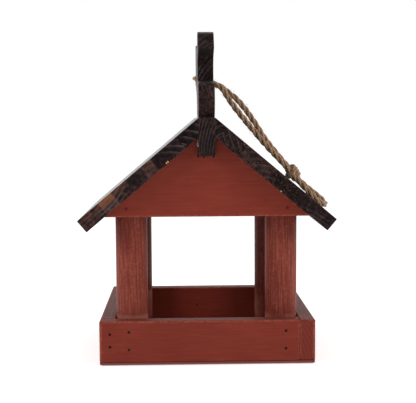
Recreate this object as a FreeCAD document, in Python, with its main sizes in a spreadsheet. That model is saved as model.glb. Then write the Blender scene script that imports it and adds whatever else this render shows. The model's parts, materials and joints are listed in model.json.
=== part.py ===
import FreeCAD, Part
import Sketcher
import math
import os

# Hanging bird feeder: a square tray on four round posts under a pitched roof, hung by a cord
# through a bird-shaped plate that runs along the ridge.
# Millimetres.  X points right, -Y is the front, Z is up, and the origin is the middle of the
# underside of the tray.

doc = FreeCAD.newDocument("hanging_bird_feeder")
sheet = doc.addObject("Spreadsheet::Sheet", "sizes")
driving = [
    # tray
    ("tray_width", 194, "outside, left to right"),
    ("tray_depth", 182, "outside, front to back"),
    ("tray_height", 40, "outside, with the bottom panel"),
    ("board_thickness", 14, "tray boards"),
    ("panel_thickness", 3, "plywood under the tray frame"),
    ("arris_radius", 1.6, "rounding of the tray boards' top edges"),
    # posts and gables
    ("post_diameter", 29, "round posts in the tray's corners"),
    ("gable_height", 133.5, "underside of the gables above the ground"),
    ("gable_inset", 5.6, "gable's lower corner inside the tray's side"),
    ("gable_thickness", 14, "gable boards"),
    # roof
    ("roof_pitch", 40, "slope of the roof in degrees"),
    ("roof_thickness", 13, "roof boards"),
    ("eave_overhang", 14.2, "roof underside past the gable's corner, level"),
    ("end_overhang", 12, "roof past the gable's face at each end"),
    # ridge plate
    ("plate_thickness", 14.5, "ridge plate, left to right"),
    ("plate_depth", 33.5, "ridge plate below the roof's top edges"),
    ("bird_setback", 3, "bird outline inside the roof's ends"),
    ("bird_height", 76.6, "bird outline above the roof's top edges"),
    ("hole_rise", 36, "rope hole's centre above the roof's top edges"),
    ("hole_diameter", 12.2, "rope hole"),
    ("recess_depth", 10, "recess for the stopper knot in the plate's left face"),
    ("recess_clearance", 0.6, "room round the stopper knot in its recess"),
    # nails
    ("shank_diameter", 1.4, "nails"),
    ("head_diameter", 2.6, "nails"),
    ("head_thickness", 0.8, "nails"),
    ("nail_length", 26, "nails through boards"),
    ("pin_length", 16, "nails through the bottom panel"),
    ("corner_nail_inset", 9.5, "corner nails in from the tray's corners"),
    ("corner_nail_low", 16.8, "lower corner nails above the ground"),
    ("corner_nail_high", 28.2, "upper corner nails above the ground"),
    ("post_nail_low", 14, "lower nails into the posts above the ground"),
    ("post_nail_high", 30, "upper nails into the posts above the ground"),
    ("post_nail_offset", 2, "nails into the posts outside the posts' middles"),
    ("gable_nail_rise", 7.5, "gable nails above the gable's underside"),
    ("gable_nail_offset", 3, "gable nails outside the posts' middles"),
    ("roof_nail_from_ridge", 27.4, "upper roof nails, level, from the ridge"),
    ("roof_nail_from_corner", 18.3, "lower roof nails, level, from the gable's corner"),
    # glue and rope
    ("bead_radius", 1.6, "glue bead in the corner of plate and gable"),
    ("bead_length", 6, "glue bead"),
    ("bead_rise", 8, "glue bead above the plate's underside"),
    ("rope_diameter", 5, "jute rope"),
    ("knot_diameter", 15, "overhand knot at the hanging eye"),
    ("stopper_diameter", 12.8, "knot of the rope's two ends"),
    ("stopper_proud", 3.3, "stopper knot past the plate's left face"),
]
for row, (alias, size, note) in enumerate(driving, start=1):
    sheet.set(f"A{row}", alias)
    sheet.set(f"B{row}", str(size))
    sheet.set(f"C{row}", note)
    sheet.setAlias(f"B{row}", alias)
doc.recompute()

# Places that several pieces share, as expressions of the sheet.
half_width = "(sizes.tray_width / 2)"
half_depth = "(sizes.tray_depth / 2)"
post_radius = "(sizes.post_diameter / 2)"
post_x = f"({half_width} - sizes.board_thickness - {post_radius})"
post_y = f"({half_depth} - sizes.board_thickness - {post_radius})"
gable_half = f"({half_width} - sizes.gable_inset)"
gable_inner = f"({half_depth} - sizes.board_thickness)"
gable_outer = f"({gable_inner} + sizes.gable_thickness)"
underside_apex = f"(sizes.gable_height + {gable_half} * tan(sizes.roof_pitch))"
roof_half_depth = f"({gable_outer} + sizes.end_overhang)"
plate_half = "(sizes.plate_thickness / 2)"
eave_x = f"({gable_half} + sizes.eave_overhang)"


def underside(x):
    """Height of the roof's underside at the level distance x from the ridge."""
    return f"({underside_apex} - ({x}) * tan(sizes.roof_pitch))"


ridge_top = f"({underside(plate_half)} + sizes.roof_thickness / cos(sizes.roof_pitch))"
plate_bottom = f"({ridge_top} - sizes.plate_depth)"


def value(expression):
    return float(sheet.evalExpression(expression))


def plane(body, role):
    return [(feature, "") for feature in body.Origin.OriginFeatures if feature.Role == role]


def outline(body, name, role, sides, lift="0"):
    """Closed sketch on an origin plane, lifted off it along its normal.

    Each side is (u, v) for a straight side that starts there, or (u, v, u2, v2) for an arc
    that starts there and passes through (u2, v2).  Every corner is tied to the sheet.
    """
    sketch = body.newObject("Sketcher::SketchObject", name)
    sketch.AttachmentSupport = plane(body, role)
    sketch.MapMode = "FlatFace"
    sketch.setExpression("AttachmentOffset.Base.z", lift)
    corners = [FreeCAD.Vector(value(side[0]), value(side[1]), 0) for side in sides]
    ends = []
    for index, side in enumerate(sides):
        start, stop = corners[index], corners[(index + 1) % len(sides)]
        if len(side) == 2:
            edge = sketch.addGeometry(Part.LineSegment(start, stop), False)
            ends.append((edge, 1, 2))
            continue
        through = FreeCAD.Vector(value(side[2]), value(side[3]), 0)
        edge = sketch.addGeometry(Part.Arc(start, through, stop), False)
        forward = sketch.getPoint(edge, 1).distanceToPoint(start) < 1e-6
        ends.append((edge, 1, 2) if forward else (edge, 2, 1))
        point = sketch.addGeometry(Part.Point(through), True)
        place(sketch, point, 1, side[2], side[3])
        sketch.addConstraint(Sketcher.Constraint("PointOnObject", point, 1, edge))
    for index, side in enumerate(sides):
        edge, first, last = ends[index]
        following, next_first, _ = ends[(index + 1) % len(sides)]
        sketch.addConstraint(Sketcher.Constraint("Coincident", edge, last, following, next_first))
        place(sketch, edge, first, side[0], side[1])
    return sketch


def place(sketch, edge, end, u, v):
    """Tie one point of a sketch to a place given by two expressions."""
    for kind, expression in (("DistanceX", u), ("DistanceY", v)):
        constraint = Sketcher.Constraint(kind, -1, 1, edge, end, value(expression))
        index = sketch.addConstraint(constraint)
        sketch.setExpression(f"Constraints[{index}]", expression)


def disc(body, name, role, u, v, diameter, lift="0"):
    """Circle sketch on an origin plane."""
    sketch = body.newObject("Sketcher::SketchObject", name)
    sketch.AttachmentSupport = plane(body, role)
    sketch.MapMode = "FlatFace"
    sketch.setExpression("AttachmentOffset.Base.z", lift)
    centre = FreeCAD.Vector(value(u), value(v), 0)
    up = FreeCAD.Vector(0, 0, 1)
    circle = sketch.addGeometry(Part.Circle(centre, up, value(diameter) / 2), False)
    index = sketch.addConstraint(Sketcher.Constraint("Diameter", circle, value(diameter)))
    sketch.setExpression(f"Constraints[{index}]", diameter)
    place(sketch, circle, 3, u, v)
    return sketch


def pad(body, sketch, length, symmetric=False):
    feature = body.newObject("PartDesign::Pad", f"{sketch.Name}_pad")
    feature.Profile = sketch
    feature.SideType = "Symmetric" if symmetric else "One side"
    feature.setExpression("Length", length)
    doc.recompute()
    return feature


def cut_through(body, sketch):
    """Pocket right through the body, both ways from the sketch."""
    before = body.Shape.Volume
    feature = body.newObject("PartDesign::Pocket", f"{sketch.Name}_pocket")
    feature.Profile = sketch
    feature.SideType = "Symmetric"
    feature.Type = "ThroughAll"
    doc.recompute()
    assert body.Shape.Volume < before - 1, f"{sketch.Name} cut nothing"


def round_edges(body, radius, wanted):
    """Fillet the edges whose two ends both pass the test."""
    base = body.Tip
    names = []
    for number, edge in enumerate(body.Shape.Edges, start=1):
        if all(wanted(vertex.Point) for vertex in edge.Vertexes):
            names.append(f"Edge{number}")
    feature = body.newObject("PartDesign::Fillet", f"{body.Name}_arris")
    feature.Base = (base, names)
    feature.setExpression("Radius", radius)
    doc.recompute()


def new_body(name):
    return doc.addObject("PartDesign::Body", name)


# ---- wooden pieces, still without their nail holes ----

blanks = {}


def tray_board(name, left, right, front, back):
    """Upright board of the tray frame, its top edges eased."""
    body = new_body(f"{name}_blank")
    corners = [(left, front), (right, front), (right, back), (left, back)]
    sketch = outline(body, f"{name}_plan", "XY_Plane", corners, "sizes.panel_thickness")
    pad(body, sketch, "sizes.tray_height - sizes.panel_thickness")
    top = value("sizes.tray_height")
    round_edges(body, "sizes.arris_radius", lambda point: abs(point.z - top) < 1e-3)
    blanks[name] = body


# The four boards chase each other round the corners, each covering one neighbour's end.
inner_width = f"({half_width} - sizes.board_thickness)"
inner_depth = f"({half_depth} - sizes.board_thickness)"
tray_board("tray_front_board", f"-{half_width}", inner_width, f"-{half_depth}", f"-{inner_depth}")
tray_board("tray_right_board", inner_width, half_width, f"-{half_depth}", inner_depth)
tray_board("tray_back_board", f"-{inner_width}", half_width, inner_depth, half_depth)
tray_board("tray_left_board", f"-{half_width}", f"-{inner_width}", f"-{inner_depth}", half_depth)

panel = new_body("tray_bottom_panel_blank")
panel_corners = [(f"-{half_width}", f"-{half_depth}"), (half_width, f"-{half_depth}"),
                 (half_width, half_depth), (f"-{half_width}", half_depth)]
pad(panel, outline(panel, "panel_plan", "XY_Plane", panel_corners), "sizes.panel_thickness")
blanks["tray_bottom_panel"] = panel


bevel_margin = 2  # how far the cut across a post's top reaches past the post


def post(name, side, end):
    """Round post, its top cut to the roof's slope."""
    body = new_body(f"{name}_blank")
    near = f"({post_x} - {post_radius} - {bevel_margin})"
    far = f"({post_x} + {post_radius} + {bevel_margin})"
    section = disc(body, f"{name}_section", "XY_Plane", f"{side} * {post_x}", f"{end} * {post_y}",
                   "sizes.post_diameter", "sizes.panel_thickness")
    pad(body, section, f"{underside(near)} - sizes.panel_thickness")
    above = f"({underside(near)} + {bevel_margin})"
    wedge = [(f"{side} * {near}", underside(near)), (f"{side} * {far}", underside(far)),
             (f"{side} * {far}", above), (f"{side} * {near}", above)]
    cut_through(body, outline(body, f"{name}_bevel", "XZ_Plane", wedge))
    blanks[name] = body


for end_name, end in (("front", -1), ("back", 1)):
    for side_name, side in (("left", -1), ("right", 1)):
        post(f"post_{end_name}_{side_name}", side, end)


def gable(name, rear_face):
    """Triangular board against the posts, notched at its apex for the ridge plate.

    rear_face is how far its rear face lies in front of the middle.
    """
    body = new_body(f"{name}_blank")
    shoulder = underside(plate_half)
    corners = [(f"-{gable_half}", "sizes.gable_height"), (gable_half, "sizes.gable_height"),
               (plate_half, shoulder), (plate_half, plate_bottom),
               (f"-{plate_half}", plate_bottom), (f"-{plate_half}", shoulder)]
    pad(body, outline(body, f"{name}_face", "XZ_Plane", corners, rear_face),
        "sizes.gable_thickness")
    blanks[name] = body


gable("gable_front", gable_inner)
gable("gable_back", f"-{gable_outer}")


def roof_board(name, side):
    """Board of one slope: plumb cut against the ridge plate, square cut at the eave."""
    body = new_body(f"{name}_blank")
    upright = "sizes.roof_thickness / cos(sizes.roof_pitch)"
    tip_x = f"({eave_x} + sizes.roof_thickness * sin(sizes.roof_pitch))"
    tip_z = f"({underside(eave_x)} + sizes.roof_thickness * cos(sizes.roof_pitch))"
    corners = [(f"{side} * {plate_half}", underside(plate_half)),
               (f"{side} * {eave_x}", underside(eave_x)),
               (f"{side} * {tip_x}", tip_z),
               (f"{side} * {plate_half}", f"{underside(plate_half)} + {upright}")]
    pad(body, outline(body, f"{name}_end", "XZ_Plane", corners), f"2 * {roof_half_depth}",
        symmetric=True)
    blanks[name] = body


roof_board("roof_board_left", -1)
roof_board("roof_board_right", 1)

# Ridge plate: a straight beam between the roof boards, with a bird's outline above them.
# The bird faces the front and cocks its tail; its points are millimetres along and above the
# roof's top edges, for a ridge 200 long, and grow with the roof's depth and with bird_height.
along_scale = f"(2 * ({roof_half_depth} - sizes.bird_setback) / 200)"
up_scale = "(sizes.bird_height / 76.6)"


def on_bird(along, up):
    return f"{along} * {along_scale}", f"{ridge_top} + {up} * {up_scale}"


bird = [
    on_bird(-30, 0) + on_bird(-24, 14),    # rump
    on_bird(-8, 24),                       # under the tail
    on_bird(16, 29) + on_bird(31, 40),     # under the tail's bend
    on_bird(40, 58),                       # end of the tail
    on_bird(36, 72) + on_bird(0, 65.5),    # back
    on_bird(-46, 65),                      # nape
    on_bird(-54, 73) + on_bird(-66, 76.6),  # crown
    on_bird(-78, 69),                      # forehead
    on_bird(-86, 61),                      # under the beak
    on_bird(-73, 56) + on_bird(-62, 44),   # throat
    on_bird(-66, 33),                      # top of the breast
    on_bird(-93, 30) + on_bird(-99, 14),   # breast
    on_bird(-92, 0),                       # front of the ridge
]
plate = new_body("ridge_plate_blank")
beam = [(f"-{roof_half_depth}", ridge_top), (f"-{roof_half_depth}", plate_bottom),
        (roof_half_depth, plate_bottom), (roof_half_depth, ridge_top)]
pad(plate, outline(plate, "plate_outline", "YZ_Plane", beam + bird), "sizes.plate_thickness",
    symmetric=True)
hole_z = f"{ridge_top} + sizes.hole_rise"
cut_through(plate, disc(plate, "rope_hole", "YZ_Plane", "0", hole_z, "sizes.hole_diameter"))
before_recess = plate.Shape.Volume
recess = plate.newObject("PartDesign::Pocket", "stopper_recess")
recess.Profile = disc(plate, "recess_circle", "YZ_Plane", "0", hole_z,
                      "sizes.stopper_diameter + 2 * sizes.recess_clearance", f"-{plate_half}")
recess.Reversed = True
recess.setExpression("Length", "sizes.recess_depth")
doc.recompute()
assert plate.Shape.Volume < before_recess - 1, "the stopper recess cut nothing"
blanks["ridge_plate"] = plate


# ---- nails ----

def turned(feature, axis, angle):
    """Turn a Part primitive's +Z axis to the way a nail is driven."""
    feature.Placement = FreeCAD.Placement(FreeCAD.Vector(), FreeCAD.Rotation(axis, 0))
    feature.setExpression("Placement.Rotation.Angle", f"({angle}) * 1 deg")


def cylinder(name, where, axis, angle, diameter, length):
    feature = doc.addObject("Part::Cylinder", name)
    turned(feature, axis, angle)
    for letter, expression in zip("xyz", where):
        feature.setExpression(f"Placement.Base.{letter}", expression)
    feature.setExpression("Radius", f"{diameter} / 2")
    feature.setExpression("Height", length)
    return feature


x_axis = FreeCAD.Vector(1, 0, 0)
y_axis = FreeCAD.Vector(0, 1, 0)
z_axis = FreeCAD.Vector(0, 0, 1)
backwards, forwards = (x_axis, "-90"), (x_axis, "90")
rightwards, leftwards = (y_axis, "90"), (y_axis, "-90")
upwards = (y_axis, "0")


def nail_group(name, nails, length="sizes.nail_length"):
    """Nails of one kind as separate solids in one piece, heads flush with the wood."""
    shapes = []
    for number, (x, y, z, way) in enumerate(nails, start=1):
        shapes.append(cylinder(f"{name}_shank_{number}", (x, y, z), *way,
                               "sizes.shank_diameter", length))
        shapes.append(cylinder(f"{name}_head_{number}", (x, y, z), *way,
                               "sizes.head_diameter", "sizes.head_thickness"))
    group = doc.addObject("Part::MultiFuse", name)
    group.Shapes = shapes
    return group


corner_x = f"({half_width} - sizes.corner_nail_inset)"
corner_y = f"({half_depth} - sizes.corner_nail_inset)"
corner_nails = nail_group("tray_corner_nails", [
    nail for height in ("sizes.corner_nail_low", "sizes.corner_nail_high") for nail in (
        (f"-{corner_x}", f"-{half_depth}", height, backwards),
        (half_width, f"-{corner_y}", height, leftwards),
        (corner_x, half_depth, height, forwards),
        (f"-{half_width}", corner_y, height, rightwards))])

post_nails = nail_group("tray_post_nails", [
    (f"{side} * ({post_x} + sizes.post_nail_offset)", f"{end} * {half_depth}", height, way)
    for height in ("sizes.post_nail_low", "sizes.post_nail_high") for side in (-1, 1)
    for end, way in ((-1, backwards), (1, forwards))])

gable_nails = nail_group("gable_nails", [
    (f"{side} * ({post_x} + sizes.gable_nail_offset)", f"{end} * {gable_outer}",
     "sizes.gable_height + sizes.gable_nail_rise", way)
    for side in (-1, 1) for end, way in ((-1, backwards), (1, forwards))])


def roof_top(x):
    return f"({underside(x)} + sizes.roof_thickness / cos(sizes.roof_pitch))"


# Each roof board has an upper and a lower nail into each gable, square to the slope.
gable_middle = f"({gable_inner} + sizes.gable_thickness / 2)"
roof_nail_places = ("sizes.roof_nail_from_ridge",
                    f"({gable_half} - sizes.roof_nail_from_corner)")
roof_nails = nail_group("roof_nails", [
    (f"{side} * {x}", f"{end} * {gable_middle}", roof_top(x),
     (y_axis, f"180 + {side} * sizes.roof_pitch"))
    for x in roof_nail_places for side in (-1, 1) for end in (-1, 1)])

panel_nails = nail_group("bottom_panel_nails", [
    place for step in (-1, 1) for edge in (-1, 1) for place in (
        (f"{step} * {half_width} / 2", f"{edge} * {corner_y}", "0", upwards),
        (f"{edge} * {corner_x}", f"{step} * {half_depth} / 2", "0", upwards))],
    "sizes.pin_length")

nail_groups = [corner_nails, post_nails, gable_nails, roof_nails, panel_nails]
all_nails = doc.addObject("Part::Compound", "all_nails")
all_nails.Links = nail_groups

pieces = []
for name, body in blanks.items():
    piece = doc.addObject("Part::Cut", name)
    piece.Base = body
    piece.Tool = all_nails
    piece.Label = name
    pieces.append(piece)
for group in nail_groups:
    group.Label = group.Name
    pieces.append(group)


# ---- glue beads ----

def glue_bead(name, end, turn):
    """Quarter-round bead in the corner between the plate's side and a gable's face."""
    bead = cylinder(name, (f"{end} * {plate_half}", f"{end} * {gable_outer}",
                           f"{plate_bottom} + sizes.bead_rise"), z_axis, turn,
                    "2 * sizes.bead_radius", "sizes.bead_length")
    bead.Angle = 90
    return bead


glue = doc.addObject("Part::Compound", "ridge_glue_beads")
glue.Links = [glue_bead("front_bead", -1, "180"), glue_bead("back_bead", 1, "0")]
glue.Label = "ridge_glue_beads"
pieces.append(glue)

# ---- rope ----

# One length of jute: from the stopper knot through the hole, down the upper strand to the
# overhand knot, round the hanging eye, and back by the lower strand to the stopper knot.
# The loop turns about a line along Y, the pivot, where it leaves the hole.  Each stub in the
# hole stops short of the pivot, so that the loop's rounded end has room to turn.
pivot = FreeCAD.Vector(14.5, 0, 253.3)
stub_gap = 4.5
upper_stub = [(-1.5, 2.7, 257.0), (pivot.x, 2.7, pivot.z)]
lower_stub = [(-1.5, -2.7, 257.0), (pivot.x, -2.7, pivot.z)]
upper_strand = [(pivot.x, 2.7, pivot.z), (22.5, 0.0, 246.2), (32.5, -5.5, 238.6),
                (46.0, -12.0, 220.5), (59.5, -17.5, 197.5), (79.5, -25.2, 173.6)]
lower_strand = [(pivot.x, -2.7, pivot.z), (20.0, -6.0, 245.5), (28.5, -10.5, 231.5),
                (42.5, -17.5, 214.0), (58.0, -23.0, 195.0), (78.3, -30.6, 173.2)]
eye = [(87.5, -26.3, 163.0), (98.0, -24.0, 153.8), (108.5, -24.5, 145.6), (114.5, -31.5, 139.2),
       (111.5, -40.5, 138.2), (102.0, -42.0, 146.0), (87.0, -31.7, 162.4)]
knot_centre = FreeCAD.Vector(82.8, -28.5, 168.4)
run_share = 0.45  # how much of the shorter run an arc at its end may take


def vectors(points):
    return [FreeCAD.Vector(*point) for point in points]


def smooth_route(name, points):
    """Straight runs joined by tangent arcs, each as large as its two runs allow."""
    edges = []
    radii = []
    last = points[0]
    for before, corner, after in zip(points, points[1:], points[2:]):
        back, ahead = before - corner, after - corner
        half_turn = (math.pi - back.getAngle(ahead)) / 2
        reach = run_share * min(back.Length, ahead.Length)
        radii.append(reach / math.tan(half_turn))
        start = corner + back.normalize() * reach
        stop = corner + ahead.normalize() * reach
        inward = (back + ahead).normalize()
        middle = corner + inward * radii[-1] * (1 / math.cos(half_turn) - 1)
        edges.append(Part.LineSegment(last, start).toShape())
        edges.append(Part.Arc(start, middle, stop).toShape())
        last = stop
    edges.append(Part.LineSegment(last, points[-1]).toShape())
    print(name, "radii", [round(radius, 1) for radius in radii])
    return Part.Wire(edges)


def rope(name, points, cut_back=0, round_start=False):
    """Plain tube along a route, as a piece of its own.

    cut_back shortens the last run; round_start puts a ball of the rope's size on the start.
    """
    diameter = value("sizes.rope_diameter")
    run = points[-1] - points[-2]
    points[-1] = points[-1] - run.normalize() * cut_back
    route = smooth_route(name, points)
    section = Part.Wire(Part.makeCircle(diameter / 2, points[0], points[1] - points[0]))
    tube = route.makePipeShell([section], True, False)
    expected = math.pi * diameter ** 2 / 4 * route.Length
    print(name, "length", round(route.Length, 1), "volume ratio", round(tube.Volume / expected, 4))
    if round_start:
        tube = tube.fuse(Part.makeSphere(diameter / 2, points[0]))
    feature = doc.addObject("Part::Feature", name)
    feature.Shape = tube
    feature.Placement = FreeCAD.Placement()
    feature.Label = name
    pieces.append(feature)
    return route.Length


def knot(name, diameter):
    feature = doc.addObject("Part::Sphere", name)
    feature.setExpression("Radius", f"{diameter} / 2")
    feature.Label = name
    pieces.append(feature)
    return feature


total = 2 * stub_gap
for name, points in (("rope_stub_upper", upper_stub), ("rope_stub_lower", lower_stub)):
    total += rope(name, vectors(points), cut_back=stub_gap)
for name, points in (("rope_strand_upper", upper_strand), ("rope_strand_lower", lower_strand)):
    total += rope(name, vectors(points), round_start=True)
total += rope("rope_hanging_eye", vectors(eye))
print("rope outside its knots", round(total, 1))
knot("rope_knot", "sizes.knot_diameter").Placement.Base = knot_centre
stopper = knot("rope_stopper_knot", "sizes.stopper_diameter")
stopper.setExpression("Placement.Base.x", f"sizes.stopper_diameter / 2 - sizes.stopper_proud"
                                          f" - {plate_half}")
stopper.setExpression("Placement.Base.z", hole_z)


# ---- checks and export ----

doc.recompute()
for item in doc.Objects:
    assert "Invalid" not in item.State and "Error" not in item.State, f"{item.Name} failed"
labels = [piece.Label for piece in pieces]
assert len(labels) == len(set(labels)), "two pieces share a label"
for piece in pieces:
    assert not piece.Shape.isNull() and piece.Shape.isValid(), f"{piece.Label} has no sound shape"
os.makedirs("parts", exist_ok=True)
for piece in pieces:
    piece.Shape.exportStep(f"parts/{piece.Label}.step")
print(len(pieces), "pieces written")
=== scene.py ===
import bpy
import bmesh
import json
import math
from mathutils import Matrix, Vector, noise


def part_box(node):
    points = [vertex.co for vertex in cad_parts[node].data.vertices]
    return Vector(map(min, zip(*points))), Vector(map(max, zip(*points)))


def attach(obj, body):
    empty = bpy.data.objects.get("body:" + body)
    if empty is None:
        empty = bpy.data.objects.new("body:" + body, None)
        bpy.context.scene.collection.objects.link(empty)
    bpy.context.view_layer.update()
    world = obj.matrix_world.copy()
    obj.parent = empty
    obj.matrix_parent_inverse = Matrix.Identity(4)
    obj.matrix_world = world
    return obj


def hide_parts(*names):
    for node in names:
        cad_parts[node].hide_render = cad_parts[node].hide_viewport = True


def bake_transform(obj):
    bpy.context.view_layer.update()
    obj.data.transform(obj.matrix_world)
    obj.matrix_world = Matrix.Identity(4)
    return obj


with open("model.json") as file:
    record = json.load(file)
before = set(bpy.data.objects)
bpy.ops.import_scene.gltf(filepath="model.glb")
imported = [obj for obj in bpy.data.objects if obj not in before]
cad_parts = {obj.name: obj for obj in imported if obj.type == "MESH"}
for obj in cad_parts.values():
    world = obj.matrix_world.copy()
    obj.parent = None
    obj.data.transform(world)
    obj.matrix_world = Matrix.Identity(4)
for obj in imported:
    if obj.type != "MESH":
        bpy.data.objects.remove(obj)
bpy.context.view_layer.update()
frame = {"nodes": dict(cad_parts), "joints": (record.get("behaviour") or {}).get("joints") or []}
nodes = frame["nodes"]
mm = 0.001
print("frame loaded,", len(nodes), "nodes")


# Small helpers shared by every piece

def colour(hexCode):
    parts = [int(hexCode[i:i + 2], 16) / 255 for i in (1, 3, 5)]
    return [c / 12.92 if c <= 0.04045 else ((c + 0.055) / 1.055) ** 2.4 for c in parts] + [1]


def addNode(tree, kind, inputs=None, stops=(), **settings):
    # an input is a value, a socket, or a node whose first output is linked
    node = tree.nodes.new(kind)
    for key, setting in settings.items():
        setattr(node, key, setting)
    for key, source in (inputs or {}).items():
        if isinstance(source, bpy.types.Node):
            source = source.outputs[0]
        if isinstance(source, bpy.types.NodeSocket):
            tree.links.new(source, node.inputs[key])
        else:
            node.inputs[key].default_value = source
    if stops:  # the places and colours of a colour ramp
        while len(node.color_ramp.elements) < len(stops):
            node.color_ramp.elements.new(1)
        for element, (at, tint) in zip(node.color_ramp.elements, stops):
            element.position = at
            element.color = tint
    return node


def newMaterial(name):
    material = bpy.data.materials.new(name)
    material.use_nodes = True
    tree = material.node_tree
    tree.nodes.clear()
    shader = addNode(tree, "ShaderNodeBsdfPrincipled")
    addNode(tree, "ShaderNodeOutputMaterial", {"Surface": shader.outputs[0]})
    return material, tree, shader


def addPiece(name, mesh, body, material, replaced=()):
    piece = bpy.data.objects.new(name, mesh)
    bpy.context.scene.collection.objects.link(piece)
    mesh.materials.clear()
    mesh.materials.append(material)
    if body:
        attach(piece, body)
    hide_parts(*replaced)
    return piece


def plainMesh(piece, name):
    # the piece as its modifiers leave it; the piece itself is then removed
    bpy.context.view_layer.update()
    shaped = piece.evaluated_get(bpy.context.evaluated_depsgraph_get())
    mesh = bpy.data.meshes.new_from_object(shaped)
    mesh.name = name
    bpy.data.objects.remove(piece)
    return mesh


def camelName(node):
    first, *rest = node.split("_")
    return first + "".join(word.capitalize() for word in rest)


def corners(node):
    low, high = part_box(node)
    return low, high, (low + high) / 2


# Camera at the height of the roof, a little left of the middle, looking slightly down

cameraView = {"eye": (-22.95, -927.88, 220.34), "yaw": 1.634, "pitch": 5.004,
              "roll": -0.293, "lens": 82.16, "sensor": 36}
yaw, pitch, roll = (math.radians(cameraView[key]) for key in ("yaw", "pitch", "roll"))
forward = Vector((math.sin(yaw) * math.cos(pitch), math.cos(yaw) * math.cos(pitch),
                  -math.sin(pitch)))
level = Vector((math.cos(yaw), -math.sin(yaw), 0))
upward = level.cross(forward)
right = level * math.cos(roll) + upward * math.sin(roll)
upward = upward * math.cos(roll) - level * math.sin(roll)
camera = bpy.data.objects.new("camera", bpy.data.cameras.new("camera"))
camera.data.lens = cameraView["lens"]
camera.data.sensor_width = cameraView["sensor"]
camera.data.clip_start = 0.01
turn = Matrix((right, upward, -forward)).transposed().to_4x4()
camera.matrix_world = Matrix.Translation(Vector(cameraView["eye"]) * mm) @ turn
bpy.context.scene.collection.objects.link(camera)
bpy.context.scene.camera = camera
print("camera placed")


# Rope: three jute plies wound on one line from the stopper knot, round the eye and back

rope = {"diameter": 5, "plyRadius": 1.46, "plyOffset": 1.44, "lay": 25, "sides": 12,
        "step": 0.9, "rough": 0.10, "fibresPerSquareMetre": 62000, "fibreLength": 4.6,
        "fibreThickness": 0.13}
pivot = Vector(frame["joints"][0]["pos_m"]) / mm
upperRun = [(-1.5, 2.7, 257.0), (pivot.x, 2.7, pivot.z), (22.5, 0.0, 246.2),
            (32.5, -5.5, 238.6), (46.0, -12.0, 220.5), (59.5, -17.5, 197.5),
            (79.5, -25.2, 173.6)]
eyeRun = [(87.5, -26.3, 163.0), (98.0, -24.0, 153.8), (108.5, -24.5, 145.6),
          (114.5, -31.5, 139.2), (111.5, -40.5, 138.2), (102.0, -42.0, 146.0),
          (87.0, -31.7, 162.4)]
lowerRun = [(-1.5, -2.7, 257.0), (pivot.x, -2.7, pivot.z), (20.0, -6.0, 245.5),
            (28.5, -10.5, 231.5), (42.5, -17.5, 214.0), (58.0, -23.0, 195.0),
            (78.3, -30.6, 173.2)]


def smoothLine(name, points):
    curve = bpy.data.curves.new(name, "CURVE")
    curve.dimensions = "3D"
    curve.resolution_u = 24
    spline = curve.splines.new("NURBS")
    spline.points.add(len(points) - 1)
    for point, place in zip(spline.points, points):
        point.co = (*place, 1)
    spline.order_u = 3
    spline.use_endpoint_u = True
    line = bpy.data.objects.new(name, curve)
    bpy.context.scene.collection.objects.link(line)
    bpy.context.view_layer.update()
    mesh = bpy.data.meshes.new_from_object(
        line.evaluated_get(bpy.context.evaluated_depsgraph_get()))
    found = [vertex.co.copy() for vertex in mesh.vertices]
    bpy.data.objects.remove(line)
    bpy.data.meshes.remove(mesh)
    return found


def evenPoints(points, step):
    # the same line with its points a step apart
    kept, travelled, due = [points[0].copy()], 0.0, step
    for start, end in zip(points, points[1:]):
        run = (end - start).length
        while run > 0 and travelled + run >= due:
            kept.append(start.lerp(end, (due - travelled) / run))
            due += step
        travelled += run
    return kept


def lineLength(points):
    return sum((b - a).length for a, b in zip(points, points[1:]))


def crossFrames(points):
    # two directions across the line at each point, turned as little as possible
    across, frames = None, []
    for i, point in enumerate(points):
        along = (points[min(i + 1, len(points) - 1)] - points[max(i - 1, 0)]).normalized()
        if across is None:
            across = along.orthogonal()
        across = (across - along * across.dot(along)).normalized()
        frames.append((across, along.cross(across)))
    return frames


def tubeAlong(build, uv, points, radius, sides, seed, rough):
    frames, rings, travelled = crossFrames(points), [], 0.0
    for i, (point, (across, other)) in enumerate(zip(points, frames)):
        travelled += (point - points[i - 1]).length if i else 0.0
        reach = min(i, len(points) - 1 - i) / 2
        taper = min(1.0, 0.35 + 0.65 * math.sqrt(min(reach, 1)))
        ring = []
        for k in range(sides):
            angle = 2 * math.pi * k / sides
            lump = noise.noise(Vector((travelled * 0.45, math.cos(angle) * 0.9 + seed,
                                       math.sin(angle) * 0.9)))
            size = radius * taper * (1 + rough * 2 * lump)
            ring.append(build.verts.new(point + (across * math.cos(angle)
                                                 + other * math.sin(angle)) * size))
        rings.append((ring, travelled))
    for (ring, start), (nextRing, end) in zip(rings, rings[1:]):
        for k in range(sides):
            face = build.faces.new((ring[k], ring[(k + 1) % sides],
                                    nextRing[(k + 1) % sides], nextRing[k]))
            around = (k / sides, (k + 1) / sides)
            for loop, place in zip(face.loops, ((start, around[0]), (start, around[1]),
                                                (end, around[1]), (end, around[0]))):
                loop[uv].uv = place
    for ring, travelled in (rings[0], rings[-1]):
        cap = build.faces.new(ring)
        for loop in cap.loops:
            loop[uv].uv = (travelled, 0.5)


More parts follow.
